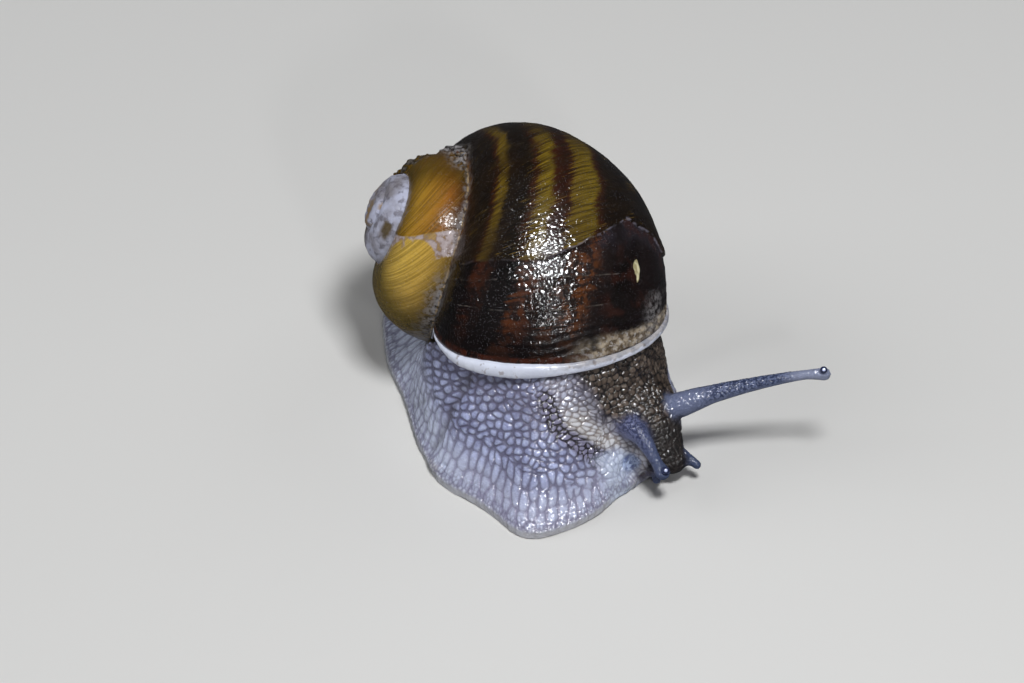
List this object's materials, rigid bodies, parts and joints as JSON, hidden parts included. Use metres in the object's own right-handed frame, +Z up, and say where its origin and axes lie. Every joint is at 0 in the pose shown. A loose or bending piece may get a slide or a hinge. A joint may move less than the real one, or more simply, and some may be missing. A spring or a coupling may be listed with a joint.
{
  "type": "striped snail",
  "caption": "Common garden snail crawling, with a dark brown and amber banded spiral shell, rolled white lip, broad grey foot and stalked eyes.",
  "frame": {"origin": "on the floor under the middle of the foot", "axes": "+Z up from the sole; the long feeler points along +X and the tail along +Y"},
  "size_m": [0.0465, 0.0502, 0.0268],
  "materials": {
    "shell": "glossy, with dark brown and amber bands",
    "lip": "smooth, pale",
    "skin": "wet, lilac grey, with dark grooves",
    "head_skin": "wet, brown-black, finely grained",
    "feeler": "wet, blue-grey",
    "eye": "black, glossy"
  },
  "bodies": {
    "root": {"shell": "shell", "shell_lip": "lip", "foot": "skin", "tail": "skin", "mantle": "skin", "neck": "head_skin", "head": "head_skin", "feeler_upper_left_base": "feeler", "feeler_upper_left_stalk": "feeler", "feeler_upper_right_base": "feeler", "feeler_upper_right_stalk": "feeler", "feeler_lower_left": "feeler", "feeler_lower_right": "feeler", "eye_left": "eye", "eye_right": "eye"}
  },
  "joints": []
}
